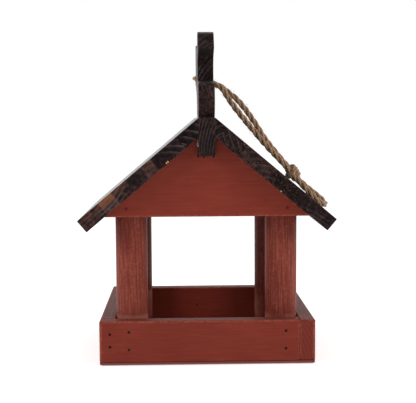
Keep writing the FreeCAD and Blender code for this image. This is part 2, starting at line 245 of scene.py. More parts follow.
def pliedRope(lines, seed=0.0):
    # every line becomes three plies wound round each other
    build = bmesh.new()
    uv = build.loops.layers.uv.new("ply")
    for number, line in enumerate(lines):
        points = evenPoints(line, rope["step"])
        frames = crossFrames(points)
        for ply in range(3):
            wound = []
            for i, (point, (across, other)) in enumerate(zip(points, frames)):
                drift = 0.5 * noise.noise(Vector((i * 0.03, seed + number, ply)))
                angle = 2 * math.pi * (i * rope["step"] / rope["lay"] + ply / 3) + drift
                wound.append(point + (across * math.cos(angle) + other * math.sin(angle))
                             * rope["plyOffset"])
            tubeAlong(build, uv, wound, rope["plyRadius"], rope["sides"],
                      seed + 7 * ply + number, rope["rough"])
    bmesh.ops.recalc_face_normals(build, faces=build.faces)
    bmesh.ops.scale(build, vec=(mm, mm, mm), verts=build.verts)
    mesh = bpy.data.meshes.new("pliedRope")
    build.to_mesh(mesh)
    build.free()
    mesh.shade_smooth()
    return mesh


def juteRope():
    # jute, wet-twisted and unbleached: dull, hairy, streaked along each ply's fibres
    material, tree, shader = newMaterial("twistedJute")
    place = addNode(tree, "ShaderNodeTexCoord").outputs
    uv = addNode(tree, "ShaderNodeSeparateXYZ", {0: place["UV"]}).outputs
    # fibres run round the ply once in 9 mm of its length
    advance = addNode(tree, "ShaderNodeMath", {0: uv[0], 1: 1 / 9}, operation="MULTIPLY")
    twist = addNode(tree, "ShaderNodeMath", {0: advance, 1: uv[1]}, operation="ADD")
    drawnOut = addNode(tree, "ShaderNodeMath", {0: uv[0], 1: 0.12}, operation="MULTIPLY")
    lane = addNode(tree, "ShaderNodeCombineXYZ", {0: drawnOut, 1: twist})
    fibres = addNode(tree, "ShaderNodeTexNoise", {"Vector": lane, "Scale": 16, "Detail": 5,
                                                  "Roughness": 0.7})
    strandAngle = addNode(tree, "ShaderNodeMath", {0: twist, 1: 2 * math.pi * 7},
                          operation="MULTIPLY")
    strand = addNode(tree, "ShaderNodeMath", {0: strandAngle}, operation="SINE")
    cloud = addNode(tree, "ShaderNodeTexNoise", {"Vector": place["Object"], "Scale": 130,
                                                 "Detail": 3})
    tint = addNode(tree, "ShaderNodeValToRGB", {0: fibres}, [
        (0.30, colour("#3f2c21")), (0.43, colour("#7e5f48")),
        (0.56, colour("#b48f6c")), (0.68, colour("#e4cda9"))])
    shade = addNode(tree, "ShaderNodeMath", {0: cloud, 1: 0.5}, operation="MULTIPLY")
    tint = addNode(tree, "ShaderNodeMix", {0: shade, 6: tint, 7: colour("#8d6c54")},
                   data_type="RGBA", blend_type="MULTIPLY").outputs[2]
    tree.links.new(tint, shader.inputs["Base Color"])
    shader.inputs["Roughness"].default_value = 0.85
    shader.inputs["Specular IOR Level"].default_value = 0.25
    shader.inputs["Sheen Weight"].default_value = 0.25
    strandRise = addNode(tree, "ShaderNodeMath", {0: strand, 1: 0.25}, operation="MULTIPLY")
    height = addNode(tree, "ShaderNodeMath", {0: fibres, 1: strandRise}, operation="ADD")
    bump = addNode(tree, "ShaderNodeBump", {"Height": height, "Strength": 0.9,
                                            "Distance": 0.35 * mm})
    tree.links.new(bump.outputs[0], shader.inputs["Normal"])
    return material


jute = juteRope()
knotCentre = Vector((82.8, -28.5, 168.4))
# through the knot the two strands pass side by side
wholeLine = smoothLine("ropeLine", upperRun + eyeRun + lowerRun[::-1])
ropePath = [point * mm for point in evenPoints(wholeLine, 2)]
ropeMesh = pliedRope([wholeLine])


def wrapsRound(centre, axis, radius, pitch, turns, start, tuck=1.2):
    # a coil round the axis whose two ends duck in under it
    axis = axis.normalized()
    across = axis.orthogonal().normalized()
    other = axis.cross(across)
    points, count = [], 60
    for i in range(count + 1):
        share = i / count
        angle = start + 2 * math.pi * turns * share
        ease = min(1.0, min(share, 1 - share) * 8)
        reach = tuck + (radius - tuck) * math.sin(ease * math.pi / 2)
        points.append(centre + axis * pitch * turns * (share - 0.5)
                      + (across * math.cos(angle) + other * math.sin(angle)) * reach)
    return points


knot = {"wraps": 1.9, "radius": 4.5, "pitch": 5.4, "lean": 0.45}
stopper = {"wraps": 1.9, "radius": 3.9, "pitch": 4.4}
strandWay = Vector(eyeRun[0]) - Vector(upperRun[-1])
lean = Vector((0, knot["lean"], 0))
knotMesh = pliedRope([wrapsRound(knotCentre, strandWay.normalized() + lean, knot["radius"],
                                 knot["pitch"], knot["wraps"], 1.0)], seed=3.0)
stopperBox = corners("rope_stopper_knot")
stopperMesh = pliedRope([wrapsRound(stopperBox[2] / mm, Vector((1, 0.25, 0.2)),
                                    stopper["radius"], stopper["pitch"],
                                    stopper["wraps"], 0.4)], seed=9.0)


def fibreTree():
    # short bent hairs standing off a rope's surface
    tree = bpy.data.node_groups.new("looseFibres", "GeometryNodeTree")
    face = tree.interface
    face.new_socket(name="Geometry", in_out="INPUT", socket_type="NodeSocketGeometry")
    for name in ("Density", "Length", "Thickness"):
        face.new_socket(name=name, in_out="INPUT", socket_type="NodeSocketFloat")
    face.new_socket(name="Seed", in_out="INPUT", socket_type="NodeSocketInt")
    face.new_socket(name="Material", in_out="INPUT", socket_type="NodeSocketMaterial")
    face.new_socket(name="Geometry", in_out="OUTPUT", socket_type="NodeSocketGeometry")
    start = addNode(tree, "NodeGroupInput").outputs
    spread = addNode(tree, "GeometryNodeDistributePointsOnFaces",
                     {"Mesh": start["Geometry"], "Density": start["Density"],
                      "Seed": start["Seed"]})
    middle, end = (addNode(tree, "ShaderNodeVectorMath", {0: way, "Scale": start["Length"]},
                           operation="SCALE") for way in ((0.42, 0, 0.10), (0.85, 0, 0.42)))
    bend = addNode(tree, "GeometryNodeCurveQuadraticBezier",
                   {"Resolution": 5, "Start": (0, 0, 0), "Middle": middle, "End": end})
    radius = addNode(tree, "ShaderNodeMath", {0: start["Thickness"], 1: 0.5},
                     operation="MULTIPLY")
    section = addNode(tree, "GeometryNodeCurvePrimitiveCircle",
                      {"Resolution": 3, "Radius": radius})
    hair = addNode(tree, "GeometryNodeCurveToMesh",
                   {"Curve": bend, "Profile Curve": section, "Fill Caps": True})
    around = addNode(tree, "FunctionNodeRandomValue",
                     {0: (-0.5, -0.25, -math.pi), 1: (0.5, 0.25, math.pi),
                      "Seed": start["Seed"]}, data_type="FLOAT_VECTOR")
    scale = addNode(tree, "FunctionNodeRandomValue",
                    {0: (0.3, 0.6, 0.3), 1: (1.3, 1.3, 1.3), "Seed": start["Seed"]},
                    data_type="FLOAT_VECTOR")
    placed = addNode(tree, "GeometryNodeInstanceOnPoints",
                     {"Points": spread.outputs["Points"], "Instance": hair,
                      "Rotation": spread.outputs["Rotation"], "Scale": scale})
    turned = addNode(tree, "GeometryNodeRotateInstances",
                     {"Instances": placed, "Rotation": around})
    real = addNode(tree, "GeometryNodeRealizeInstances", {0: turned})
    coated = addNode(tree, "GeometryNodeSetMaterial",
                     {"Geometry": real, "Material": start["Material"]})
    addNode(tree, "NodeGroupOutput", {0: coated})
    return tree


def grow(name, mesh, tree, settings):
    # runs a node tree on a mesh and gives back the plain result
    carrier = bpy.data.objects.new(name, mesh)
    bpy.context.scene.collection.objects.link(carrier)
    modifier = carrier.modifiers.new(name, "NODES")
    modifier.node_group = tree
    for item in tree.interface.items_tree:
        if item.in_out == "INPUT" and item.name in settings:
            modifier[item.identifier] = settings[item.name]
    return plainMesh(carrier, name)


fibreNodes = fibreTree()


def fibresOn(name, mesh, seed):
    return grow(name, mesh, fibreNodes,
                {"Density": rope["fibresPerSquareMetre"], "Length": rope["fibreLength"] * mm,
                 "Thickness": rope["fibreThickness"] * mm, "Seed": seed, "Material": jute})


ropeFibres = fibresOn("ropeFibres", ropeMesh.copy(), 4)
knotFibres = fibresOn("knotFibres", knotMesh.copy(), 5)
ropePiece = addPiece("hangingRope", ropeMesh, None, jute,
                     ["rope_stub_upper", "rope_stub_lower", "rope_strand_upper",
                      "rope_strand_lower", "rope_hanging_eye"])
hairPiece = addPiece("hangingRopeFibres", ropeFibres, None, jute)
for piece in (ropePiece, hairPiece):
    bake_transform(piece)
knotPiece = addPiece("ropeKnot", knotMesh, "hanging_loop", jute, ["rope_knot"])
knotHair = addPiece("ropeKnotFibres", knotFibres, "hanging_loop", jute)
stopperPiece = addPiece("ropeStopperKnot", stopperMesh, "feeder", jute,
                        ["rope_stopper_knot"])
print("rope wound, line", round(lineLength(ropePath) / mm), "mm")


# Wood finishes

grainTurn = {"X": (0, 0, math.pi / 2), "Y": (0, 0, 0), "Z": (-math.pi / 2, 0, 0)}


def ringScale(width):
    return 2 * math.pi / (20 * width * mm)  # the ring texture's scale for that ring width


def markSpots(tree, place, tint, spots, mark):
    # uneven little marks, each a point and its radius in mm
    jitter = addNode(tree, "ShaderNodeTexNoise", {"Vector": place, "Scale": 420})
    shift = addNode(tree, "ShaderNodeVectorMath", {0: jitter.outputs["Color"],
                                                   "Scale": 0.0018}, operation="SCALE")
    uneven = addNode(tree, "ShaderNodeVectorMath", {0: place, 1: shift}, operation="ADD")
    for spot, size in spots:
        middle = [coordinate * mm + 0.0009 for coordinate in spot]
        apart = addNode(tree, "ShaderNodeVectorMath", {0: uneven, 1: middle},
                        operation="DISTANCE").outputs["Value"]
        within = addNode(tree, "ShaderNodeMath", {0: apart, 1: size * mm},
                         operation="LESS_THAN")
        tint = addNode(tree, "ShaderNodeMix", {0: within, 6: tint, 7: colour(mark)},
                       data_type="RGBA").outputs[2]
    return tint


def redPaint(name, along, look):
    # satin linseed paint brushed on sawn pine: streaks and raised grain show through it
    material, tree, shader = newMaterial(name)
    tints = {key: colour(code) for key, code in look.items() if isinstance(code, str)}
    place = addNode(tree, "ShaderNodeTexCoord").outputs
    grained = addNode(tree, "ShaderNodeMapping",
                      {"Vector": place["Object"], "Rotation": grainTurn[along],
                       "Location": look["pith"]})
    stretched = addNode(tree, "ShaderNodeMapping", {"Vector": grained, "Scale": (1, 0.05, 1)})
    rings = addNode(tree, "ShaderNodeTexWave",
                    {"Vector": stretched, "Scale": ringScale(look["ringWidth"]),
                     "Distortion": 8, "Detail": 2, "Detail Scale": 0.12},
                    wave_type="RINGS", rings_direction="Y", wave_profile="SAW").outputs["Fac"]
    streaks = addNode(tree, "ShaderNodeTexNoise", {"Vector": stretched, "Scale": 700,
                                                   "Detail": 4, "Roughness": 0.6})
    cloud = addNode(tree, "ShaderNodeTexNoise", {"Vector": place["Object"], "Scale": 22,
                                                 "Detail": 3})
    speck = addNode(tree, "ShaderNodeTexNoise", {"Vector": place["Object"], "Scale": 420,
                                                 "Detail": 3})
    # object normal along the grain means a sawn end
    normal = addNode(tree, "ShaderNodeSeparateXYZ", {0: place["Normal"]}).outputs
    facing = addNode(tree, "ShaderNodeMath", {0: normal[along]}, operation="ABSOLUTE")
    sawnEnd = addNode(tree, "ShaderNodeMath", {0: facing, 1: 0.85}, operation="GREATER_THAN")
    fine = addNode(tree, "ShaderNodeMath", {0: streaks, 1: 0.55}, operation="MULTIPLY")
    broad = addNode(tree, "ShaderNodeMath", {0: cloud, 1: 0.45}, operation="MULTIPLY")
    tone = addNode(tree, "ShaderNodeMath", {0: fine, 1: broad}, operation="ADD")
    tint = addNode(tree, "ShaderNodeValToRGB", {0: tone}, [
        (0.36, tints["deep"]), (0.50, tints["middle"]), (0.64, tints["light"])])
    lateWood = addNode(tree, "ShaderNodeMath", {0: rings, 1: 3.0}, operation="POWER")
    grain = addNode(tree, "ShaderNodeMath", {0: lateWood, 1: look["grainShows"]},
                    operation="MULTIPLY")
    tint = addNode(tree, "ShaderNodeMix", {0: grain, 6: tint, 7: tints["deep"]},
                   data_type="RGBA").outputs[2]
    endTint = addNode(tree, "ShaderNodeMix", {0: rings, 6: tints["endDark"],
                                              7: tints["endLight"]},
                      data_type="RGBA").outputs[2]
    endTint = addNode(tree, "ShaderNodeMix", {0: speck, 6: endTint, 7: tints["deep"]},
                      data_type="RGBA").outputs[2]
    endShare = addNode(tree, "ShaderNodeMath", {0: sawnEnd, 1: 0.8}, operation="MULTIPLY")
    tint = addNode(tree, "ShaderNodeMix", {0: endShare, 6: tint, 7: endTint},
                   data_type="RGBA").outputs[2]
    # tops are worn grey along the grain, and posts scuffed pale where they meet the tray
    onTop = addNode(tree, "ShaderNodeMapRange", {0: normal["Z"], 1: 0.6, 2: 0.95})
    bare = addNode(tree, "ShaderNodeMapRange", {0: streaks, 1: 0.40, 2: 0.60, 3: 0.45, 4: 1.0})
    wornTop = addNode(tree, "ShaderNodeMath", {0: onTop, 1: bare}, operation="MULTIPLY")
    wornTop = addNode(tree, "ShaderNodeMath", {0: wornTop, 1: look["topWear"]},
                      operation="MULTIPLY")
    grey = addNode(tree, "ShaderNodeMix", {0: rings, 6: tints["wornLight"],
                                           7: tints["wornDark"]}, data_type="RGBA").outputs[2]
    tint = addNode(tree, "ShaderNodeMix", {0: wornTop, 6: tint, 7: grey},
                   data_type="RGBA").outputs[2]
    height = addNode(tree, "ShaderNodeSeparateXYZ", {0: place["Object"]}).outputs["Z"]
    foot = addNode(tree, "ShaderNodeMapRange", {0: height, 1: 0.0435, 2: 0.040})
    patchy = addNode(tree, "ShaderNodeMapRange", {0: cloud, 1: 0.42, 2: 0.6})
    foot = addNode(tree, "ShaderNodeMath", {0: foot, 1: patchy}, operation="MULTIPLY")
    foot = addNode(tree, "ShaderNodeMath", {0: foot, 1: look["footWear"]},
                   operation="MULTIPLY")
    grit = addNode(tree, "ShaderNodeMath", {0: speck, 1: streaks}, operation="ADD")
    chalky = addNode(tree, "ShaderNodeMapRange", {0: grit, 1: 0.98, 2: 1.24})
    chalky = addNode(tree, "ShaderNodeMath", {0: chalky, 1: look["chalky"]},
                     operation="MULTIPLY")
    # paint is thin where arrises were rubbed; the rounded arrises are also lightened as a painted
    # highlight
    arris = addNode(tree, "ShaderNodeAttribute", attribute_name="arris").outputs["Fac"]
    arrisSpeckle = addNode(tree, "ShaderNodeMapRange", {0: speck, 1: 0.40, 2: 0.62, 3: 0.10, 4: 0.65})
    arrisWearAndHighlight = addNode(tree, "ShaderNodeMath", {0: arris, 1: arrisSpeckle}, operation="MULTIPLY")
    for amount in (foot, chalky, arrisWearAndHighlight):
        tint = addNode(tree, "ShaderNodeMix", {0: amount, 6: tint, 7: tints["rubbedAndHighlight"]},
                       data_type="RGBA").outputs[2]
    # near-black dots painted as the shade inside saw kerfs and a dent
    tint = markSpots(tree, place["Object"], tint, look["shadedKerfDots"], look["pit"])
    tree.links.new(tint, shader.inputs["Base Color"])
    dull = addNode(tree, "ShaderNodeMapRange", {0: speck, 1: 0.3, 2: 0.7, 3: 0.40, 4: 0.56})
    tree.links.new(dull.outputs[0], shader.inputs["Roughness"])
    shader.inputs["Specular IOR Level"].default_value = look["gloss"]
    ringRise = addNode(tree, "ShaderNodeMath", {0: rings, 1: 0.4}, operation="MULTIPLY")
    relief = addNode(tree, "ShaderNodeMath", {0: ringRise, 1: streaks}, operation="ADD")
    speckRise = addNode(tree, "ShaderNodeMath", {0: speck, 1: 0.5}, operation="MULTIPLY")
    relief = addNode(tree, "ShaderNodeMath", {0: relief, 1: speckRise}, operation="ADD")
    bump = addNode(tree, "ShaderNodeBump", {"Height": relief, "Strength": look["relief"],
                                            "Distance": 0.15 * mm})
    tree.links.new(bump.outputs[0], shader.inputs["Normal"])
    return material


# the colour for rubbed paint also serves as a painted highlight on the rounded arrises
# the near-black dot colour is painted shade in saw kerfs and dents
paint = {"deep": "#66251b", "middle": "#6c291e", "light": "#722d22", "rubbedAndHighlight": "#8c4b3b",
         "endDark": "#4c1a13", "endLight": "#6c3127", "wornLight": "#73463c",
         "wornDark": "#4a2a25", "pit": "#1c0a08", "ringWidth": 3.4, "grainShows": 0.10,
         "topWear": 0.5, "footWear": 0.0, "chalky": 0.04, "relief": 0.22, "gloss": 0.08,
         "shadedKerfDots": [], "pith": (0.013, 0, -0.031)}
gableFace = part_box("gable_front")[0].y / mm
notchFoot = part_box("ridge_plate")[0].z / mm - 0.7
# three near-black dots are painted shade in saw overcuts at the foot of the plate's notch, and
# one is painted shade in a dent inside the back board
paintAlongX = redPaint("brushedRedPaintAlongX", "X", dict(paint, shadedKerfDots=[
    ((-7.6, gableFace, notchFoot), 1.1), ((-2.6, gableFace, notchFoot), 1.0),
    ((6.4, gableFace, notchFoot), 1.1), ((-6.7, 77, 21), 0.8)]))
paintAlongY = redPaint("brushedRedPaintAlongY", "Y", dict(paint, topWear=0.85,
                                                          pith=(-0.021, 0, 0.012)))
paintAlongZ = redPaint("brushedRedPaintAlongZ", "Z", dict(
    paint, deep="#561f17", middle="#65291f", light="#78372b", rubbedAndHighlight="#a0665a",
    chalky=0.16, grainShows=0.2, topWear=0.0, footWear=0.6, relief=0.45, gloss=0.08,
    pith=(0.06, 0, 0.052)))


def plyPaint(look):
    # painted 3 mm birch plywood: its cut edge shows a darker band in each 1 mm veneer
    material, tree, shader = newMaterial("paintedBirchPlywood")
    place = addNode(tree, "ShaderNodeTexCoord").outputs
    height = addNode(tree, "ShaderNodeSeparateXYZ", {0: place["Object"]}).outputs["Z"]
    turns = addNode(tree, "ShaderNodeMath", {0: height, 1: 2 * math.pi / mm},
                    operation="MULTIPLY")
    veneer = addNode(tree, "ShaderNodeMath", {0: turns}, operation="SINE")
    soft = addNode(tree, "ShaderNodeTexNoise", {"Vector": place["Object"], "Scale": 180,
                                                "Detail": 5})
    tint = addNode(tree, "ShaderNodeValToRGB", {0: soft}, [
        (0.3, colour(look["deep"])), (0.7, colour(look["middle"]))])
    darker = addNode(tree, "ShaderNodeMath", {0: veneer, 1: 0.35}, operation="MULTIPLY",
                     use_clamp=True)
    tint = addNode(tree, "ShaderNodeMix", {0: darker, 6: tint, 7: colour(look["endDark"])},
                   data_type="RGBA").outputs[2]
    tree.links.new(tint, shader.inputs["Base Color"])
    dull = addNode(tree, "ShaderNodeMath", {0: soft, 1: 0.25}, operation="MULTIPLY")
    dull = addNode(tree, "ShaderNodeMath", {0: dull, 1: 0.4}, operation="ADD")
    tree.links.new(dull.outputs[0], shader.inputs["Roughness"])
    veneerRise = addNode(tree, "ShaderNodeMath", {0: veneer, 1: 0.3}, operation="MULTIPLY")
    relief = addNode(tree, "ShaderNodeMath", {0: soft, 1: veneerRise}, operation="ADD")
    bump = addNode(tree, "ShaderNodeBump", {"Height": relief, "Strength": 0.4,
                                            "Distance": 0.15 * mm})
    tree.links.new(bump.outputs[0], shader.inputs["Normal"])
    return material


plyPanelPaint = plyPaint(paint)


def stainedPine(name, turn, edgeAt, width, look):
    # glued-up pine staves under near-black stain: rings on the ends, streaks on the faces
    material, tree, shader = newMaterial(name)
    tints = {key: colour(code) for key, code in look.items() if isinstance(code, str)}
    place = addNode(tree, "ShaderNodeTexCoord").outputs
    laid = addNode(tree, "ShaderNodeMapping", {"Vector": place["Object"],
                                               "Rotation": (0, turn, 0)})
    board = addNode(tree, "ShaderNodeSeparateXYZ", {0: laid}).outputs
    share = addNode(tree, "ShaderNodeMapRange", {0: board["X"], 1: edgeAt, 2: edgeAt + width,
                                                 3: 0.0, 4: 1.0})
    # each stave: where its heart lies (red of 60 mm, blue of 120 mm), and how brown it is
    staves = addNode(tree, "ShaderNodeValToRGB", {0: share}, [
        (at, (heart, brown, depth, 1)) for at, heart, depth, brown in look["staves"]])
    staves.color_ramp.interpolation = "CONSTANT"
    stave = addNode(tree, "ShaderNodeSeparateColor", {0: staves}).outputs
    shifts = []
    for channel, reach in ((0, 0.06), (2, 0.12)):
        offset = addNode(tree, "ShaderNodeMath", {0: stave[channel], 1: 0.5},
                         operation="SUBTRACT")
        shifts.append(addNode(tree, "ShaderNodeMath", {0: offset, 1: reach},
                              operation="MULTIPLY"))
    back = addNode(tree, "ShaderNodeMath", {0: share, 1: -width}, operation="MULTIPLY")
    heartAcross = addNode(tree, "ShaderNodeMath", {0: shifts[0], 1: back}, operation="ADD")
    heartAt = addNode(tree, "ShaderNodeCombineXYZ", {0: heartAcross, 2: shifts[1]})
    fromEdge = addNode(tree, "ShaderNodeVectorMath", {0: laid, 1: (edgeAt, 0, look["level"])},
                       operation="SUBTRACT")
    # just over half of the way across is taken out, so hearts stay near every stave
    pulled = addNode(tree, "ShaderNodeVectorMath", {0: heartAt, "Scale": 0.55},
                     operation="SCALE")
    centred = addNode(tree, "ShaderNodeVectorMath", {0: fromEdge, 1: pulled}, operation="ADD")
    stretched = addNode(tree, "ShaderNodeMapping", {"Vector": centred, "Scale": (1, 0.05, 1)})
    rings = addNode(tree, "ShaderNodeTexWave",
                    {"Vector": stretched, "Scale": ringScale(look["ringWidth"]),
                     "Distortion": 5, "Detail": 2, "Detail Scale": 0.10},
                    wave_type="RINGS", rings_direction="Y", wave_profile="SAW").outputs["Fac"]
    streaks = addNode(tree, "ShaderNodeTexNoise", {"Vector": stretched, "Scale": 600,
                                                   "Detail": 5})
    patch = addNode(tree, "ShaderNodeTexNoise", {"Vector": place["Object"], "Scale": 62,
                                                 "Detail": 3})
    speck = addNode(tree, "ShaderNodeTexNoise", {"Vector": place["Object"], "Scale": 500,
                                                 "Detail": 3})
    mottle = addNode(tree, "ShaderNodeTexNoise", {"Vector": place["Object"], "Scale": 260,
                                                  "Detail": 6, "Roughness": 0.7})
    fleck = addNode(tree, "ShaderNodeTexNoise", {"Vector": place["Object"], "Scale": 620,
                                                 "Detail": 2})
    normal = addNode(tree, "ShaderNodeSeparateXYZ", {0: place["Normal"]}).outputs
    facing = addNode(tree, "ShaderNodeMath", {0: normal["Y"]}, operation="ABSOLUTE")
    sawnEnd = addNode(tree, "ShaderNodeMath", {0: facing, 1: 0.5}, operation="GREATER_THAN")
    faceTint = addNode(tree, "ShaderNodeValToRGB", {0: streaks}, [
        (0.32, tints["black"]), (0.62, tints["dark"]), (0.78, tints["brown"])])
    grain = addNode(tree, "ShaderNodeMath", {0: rings, 1: 2.0}, operation="POWER")
    grain = addNode(tree, "ShaderNodeMath", {0: grain, 1: 0.6}, operation="MULTIPLY")
    faceTint = addNode(tree, "ShaderNodeMix", {0: grain, 6: faceTint, 7: tints["black"]},
                       data_type="RGBA").outputs[2]
    browner = addNode(tree, "ShaderNodeMath", {0: stave[1], 1: 0.5}, operation="SUBTRACT")
    browner = addNode(tree, "ShaderNodeMath", {0: browner, 1: look["staveContrast"]},
                      operation="MULTIPLY")
    tone = addNode(tree, "ShaderNodeMath", {0: mottle, 1: browner}, operation="ADD")
    endTint = addNode(tree, "ShaderNodeValToRGB", {0: tone}, [
        (0.30, tints["black"]), (0.50, tints["dark"]), (0.72, tints["brown"])])
    # hard late wood took less stain and stands out as thin pale arcs
    lateWood = addNode(tree, "ShaderNodeMath", {0: rings, 1: 5.0}, operation="POWER")
    clear = addNode(tree, "ShaderNodeMapRange", {0: patch, 1: 0.42, 2: 0.62, 3: 0.05, 4: 1.0})
    arcs = addNode(tree, "ShaderNodeMath", {0: lateWood, 1: clear}, operation="MULTIPLY")
    arcs = addNode(tree, "ShaderNodeMath", {0: arcs, 1: look["arcs"]}, operation="MULTIPLY")
    flecks = addNode(tree, "ShaderNodeMapRange", {0: fleck, 1: 0.54, 2: 0.66})
    flecked = addNode(tree, "ShaderNodeMath", {0: share, 1: look["flecksFrom"]},
                      operation="GREATER_THAN")
    flecks = addNode(tree, "ShaderNodeMath", {0: flecks, 1: flecked}, operation="MULTIPLY")
    flecks = addNode(tree, "ShaderNodeMath", {0: flecks, 1: look["flecks"]},
                     operation="MULTIPLY")
    # the stain ran thin and rusty along the top edge of the browner staves
    nearTop = addNode(tree, "ShaderNodeMapRange", {0: board["Z"], 1: look["topAt"] - 0.008,
                                                   2: look["topAt"] - 0.002})
    rusty = addNode(tree, "ShaderNodeMapRange", {0: patch, 1: 0.46, 2: 0.56})
    onBrown = addNode(tree, "ShaderNodeMapRange", {0: stave[1], 1: 0.4, 2: 0.9})
    for amount in (nearTop, onBrown, look["rusty"]):
        rusty = addNode(tree, "ShaderNodeMath", {0: rusty, 1: amount}, operation="MULTIPLY")
    for amount, shows in ((arcs, "pale"), (flecks, "brown"), (rusty, "rust")):
        endTint = addNode(tree, "ShaderNodeMix", {0: amount, 6: endTint, 7: tints[shows]},
                          data_type="RGBA").outputs[2]
    tint = addNode(tree, "ShaderNodeMix", {0: sawnEnd, 6: faceTint, 7: endTint},
                   data_type="RGBA").outputs[2]
    # stain is thin where arrises were rubbed; the rounded arrises are also lightened as a painted
    # highlight
    arris = addNode(tree, "ShaderNodeAttribute", attribute_name="arris").outputs["Fac"]
    arrisSpeckle = addNode(tree, "ShaderNodeMapRange", {0: speck, 1: 0.45, 2: 0.62, 3: 0.0, 4: 0.55})
    arrisWearAndHighlight = addNode(tree, "ShaderNodeMath", {0: arris, 1: arrisSpeckle}, operation="MULTIPLY")
    tint = addNode(tree, "ShaderNodeMix", {0: arrisWearAndHighlight, 6: tint, 7: tints["rubbedAndHighlight"]},
                   data_type="RGBA").outputs[2]
    # bare pine where a chip broke off an arris
    tint = markSpots(tree, place["Object"], tint, look["chips"], look["bare"])
    tree.links.new(tint, shader.inputs["Base Color"])
    dull = addNode(tree, "ShaderNodeMapRange", {0: rings, 1: 0.0, 2: 1.0, 3: 0.60, 4: 0.45})
    tree.links.new(dull.outputs[0], shader.inputs["Roughness"])
    gloss = addNode(tree, "ShaderNodeMapRange", {0: sawnEnd, 3: look["gloss"],
                                                 4: look["endGloss"]})
    tree.links.new(gloss.outputs[0], shader.inputs["Specular IOR Level"])
    onFaces = addNode(tree, "ShaderNodeMath", {0: 1.0, 1: sawnEnd}, operation="SUBTRACT")
    coat = addNode(tree, "ShaderNodeMath", {0: onFaces, 1: look["coat"]},
                   operation="MULTIPLY")
    tree.links.new(coat.outputs[0], shader.inputs["Coat Weight"])
    shader.inputs["Coat Roughness"].default_value = 0.12
    ringRise = addNode(tree, "ShaderNodeMath", {0: rings, 1: 0.8}, operation="MULTIPLY")
    relief = addNode(tree, "ShaderNodeMath", {0: ringRise, 1: streaks}, operation="ADD")
    speckRise = addNode(tree, "ShaderNodeMath", {0: speck, 1: 0.7}, operation="MULTIPLY")
    relief = addNode(tree, "ShaderNodeMath", {0: relief, 1: speckRise}, operation="ADD")
    bump = addNode(tree, "ShaderNodeBump", {"Height": relief, "Strength": 0.7,
                                            "Distance": 0.3 * mm})
    tree.links.new(bump.outputs[0], shader.inputs["Normal"])
    return material


# the colour for rubbed stain also serves as a painted highlight on the rounded arrises
stain = {"black": "#0b0707", "dark": "#1e1415", "brown": "#47302a", "rust": "#70452d",
         "pale": "#6d5f61", "rubbedAndHighlight": "#46372f", "bare": "#b98f70", "ringWidth": 3.4,
         "gloss": 0.22, "endGloss": 0.04, "coat": 0.5, "staveContrast": 0.45, "level": 0.0,
         "arcs": 0.5, "flecks": 0.0, "flecksFrom": 0.26, "rusty": 0.9, "topAt": 1.0, "chips": []}
roof = {"pitch": 40, "boardWidth": 150, "boardThickness": 13}
slope = math.radians(roof["pitch"])
boardWidth = roof["boardWidth"] * mm
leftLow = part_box("roof_board_left")[0]
rightLow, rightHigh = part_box("roof_board_right")


def laidAcross(x, z, turn):
    return x * math.cos(turn) + z * math.sin(turn)


def laidDeep(x, z, turn):
    return z * math.cos(turn) - x * math.sin(turn)


# staves run from the eave up: start, heart across, heart depth, brownness
eaveHeight = rightLow.z + roof["boardThickness"] * mm * math.cos(slope)
eaveTop = laidDeep(leftLow.x, eaveHeight, slope)
leftStain = stainedPine("stainedPineLeftRoof", slope, laidAcross(leftLow.x, leftLow.z, slope),
                        boardWidth, dict(
    stain, level=eaveTop, topAt=eaveTop,
    chips=[((-34.0, -103.0, 183.0), 0.55), ((-35.4, -103.0, 181.8), 0.6)],
    staves=[(0.0, 0.35, 0.0, 0.55), (0.20, 0.30, 0.0, 0.85), (0.30, 0.5, 0.1, 0.5),
            (0.52, 0.45, 0.1, 0.8), (0.60, 0.3, 0.95, 0.35), (0.80, 0.3, 0.9, 0.15)]))
rightStain = stainedPine("stainedPineRightRoof", -slope,
                         laidAcross(rightHigh.x, rightLow.z, -slope), -boardWidth, dict(
    stain, level=eaveTop, topAt=eaveTop, arcs=0.25, flecks=0.75, rusty=0.35,
    chips=[((64.4, -103.0, 156.2), 1.0)],
    staves=[(0.0, 0.55, 1.0, 0.4), (0.26, 0.3, 0.1, 0.2), (0.5, 0.75, 0.9, 0.45),
            (0.72, 0.4, 0.0, 0.25), (0.88, 0.6, 0.8, 0.1)]))
plateLow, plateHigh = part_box("ridge_plate")
plateHeight = plateHigh.z - plateLow.z
plateStain = stainedPine("stainedPineRidgePlate", math.pi / 2, plateLow.z, plateHeight, dict(
    stain, ringWidth=2.4, arcs=0.35, flecks=0.3, coat=0.12, staves=[
        (0.0, 0.5, 0.75, 0.35), (0.31, 0.2, 0.2, 0.5), (0.58, 0.8, 0.9, 0.2),
        (0.86, 0.75, 0.8, 0.35)]))


# Boards, posts, gables and plate: CAD shapes with sawn arrises eased

# above the given height the rounded arrises get their full wear and painted highlight
wood = {"ease": 1.2, "cornerEase": 2.2, "roofEase": 0.7, "segments": 3,
        "shortestEased": 0.9, "arrisFullAbove": 8}
woodFinish = {
    "tray_front_board": paintAlongX, "tray_back_board": paintAlongX,
    "tray_left_board": paintAlongY, "tray_right_board": paintAlongY,
    "tray_bottom_panel": plyPanelPaint,
    "post_front_left": paintAlongZ, "post_front_right": paintAlongZ,
    "post_back_left": paintAlongZ, "post_back_right": paintAlongZ,
    "gable_front": paintAlongX, "gable_back": paintAlongX,
    "roof_board_left": leftStain, "roof_board_right": rightStain, "ridge_plate": plateStain}
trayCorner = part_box("tray_bottom_panel")[1]


